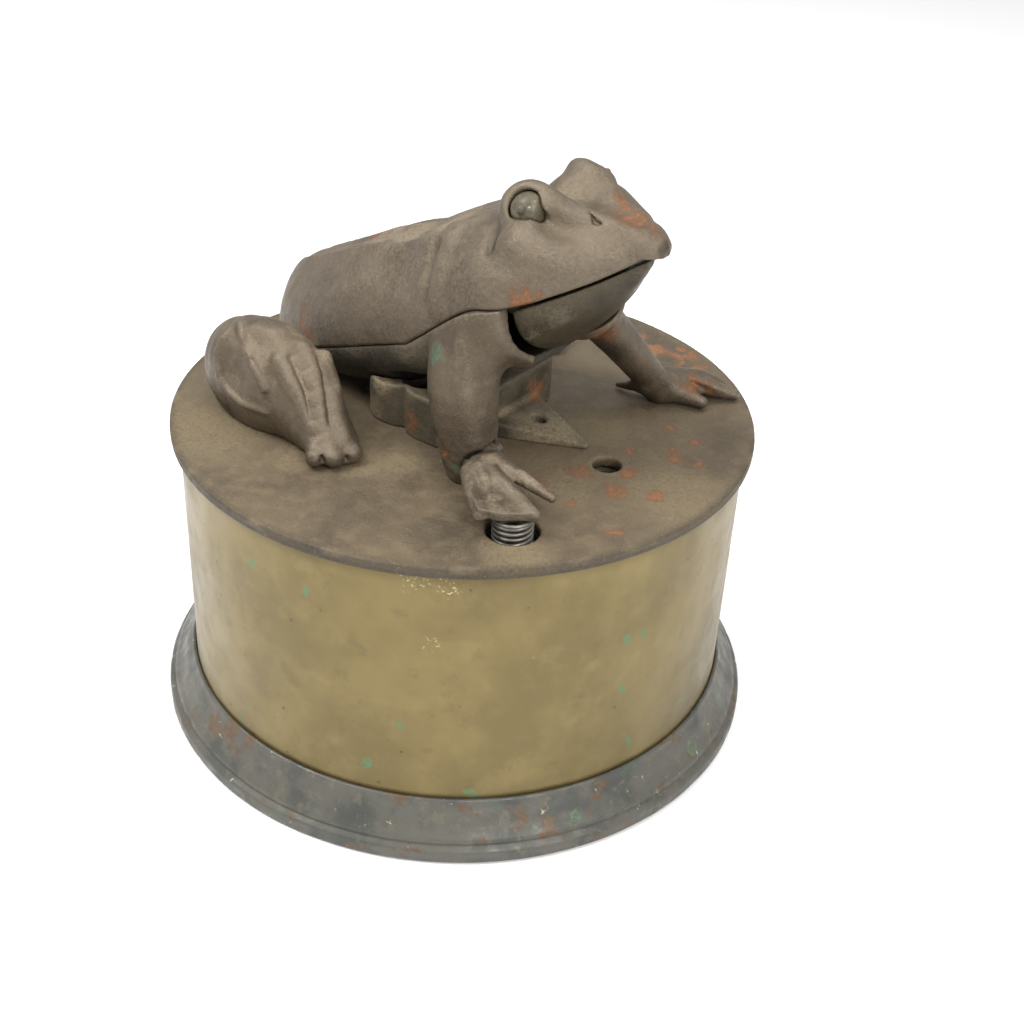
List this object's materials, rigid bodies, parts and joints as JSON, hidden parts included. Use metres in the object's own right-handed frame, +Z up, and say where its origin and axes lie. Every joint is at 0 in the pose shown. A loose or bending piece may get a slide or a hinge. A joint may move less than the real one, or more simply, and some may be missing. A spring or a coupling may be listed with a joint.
{
  "type": "frog coin bank",
  "caption": "Cast-iron frog on a round drum; pressing its front foot opens the mouth and rolls the eyes, and the coin drops through the frog into the drum.",
  "frame": {"origin": "centre of the foot ring's underside, on the table", "axes": "+Z up, +X the way the frog faces, +Y towards its left side"},
  "size_m": [0.1228, 0.1228, 0.1159],
  "materials": {
    "iron": "matte",
    "dark_iron": "matte",
    "drum_brass": "satin",
    "ring_paint": "matte",
    "steel": "satin",
    "eye_paint": "matte"
  },
  "bodies": {
    "base": {"foot_ring": "ring_paint", "drum": "drum_brass", "bottom_plate": "dark_iron", "bottom_screws": "steel", "tie_post": "dark_iron", "post_nut": "steel"},
    "lid": {"lid_plate": "iron", "coin_chute": "iron", "frog_back": "iron", "frog_belly": "iron", "right_front_leg": "iron", "left_front_leg": "iron", "right_hind_leg": "iron", "left_hind_leg": "iron", "leg_nuts": "steel", "body_screw": "steel", "body_washer": "steel", "spring_cup": "dark_iron", "cup_rivets": "steel", "jaw_pins": "steel", "foot_pin": "steel", "eye_pins": "steel", "foot_spring": "steel"},
    "foot_lever": {"right_front_foot": "iron", "heel_lever": "dark_iron"},
    "rod": {"push_rod": "steel"},
    "jaw": {"lower_jaw": "dark_iron", "jaw_arms": "dark_iron"},
    "eyes": {"eye_rocker": "dark_iron", "right_eyeball": "eye_paint", "left_eyeball": "eye_paint"}
  },
  "joints": [
    {"name": "lid_lift", "type": "slide", "parent": "base", "child": "lid", "axis": [0, 0, 1], "range_m": [0, 0.15]},
    {"name": "foot_press", "type": "hinge", "parent": "lid", "child": "foot_lever", "pos_m": [0.0205, -0.02, 0.0685], "axis": [0, 1, 0], "range_deg": [0, 9.5], "stiffness_Nm_per_rad": 0.15, "springref_deg": -11.46, "deforming": ["foot_spring"]},
    {"name": "rod_lift", "type": "slide", "parent": "lid", "child": "rod", "axis": [0.0235, 0.1802, 0.9833], "range_m": [0, 0.00094]},
    {"name": "jaw_open", "type": "hinge", "parent": "lid", "child": "jaw", "pos_m": [0.019, 0, 0.0975], "axis": [0, 1, 0], "range_deg": [0, 15.4]},
    {"name": "eyes_roll", "type": "hinge", "parent": "lid", "child": "eyes", "pos_m": [0.02, 0, 0.1119], "axis": [0, 1, 0], "range_deg": [-18.6, 0]}
  ],
  "couplings": [
    {"joint": "rod_lift", "follows": "foot_press", "m_per_rad": 0.0056},
    {"joint": "jaw_open", "follows": "foot_press", "ratio": 1.618},
    {"joint": "eyes_roll", "follows": "foot_press", "ratio": -1.95}
  ]
}
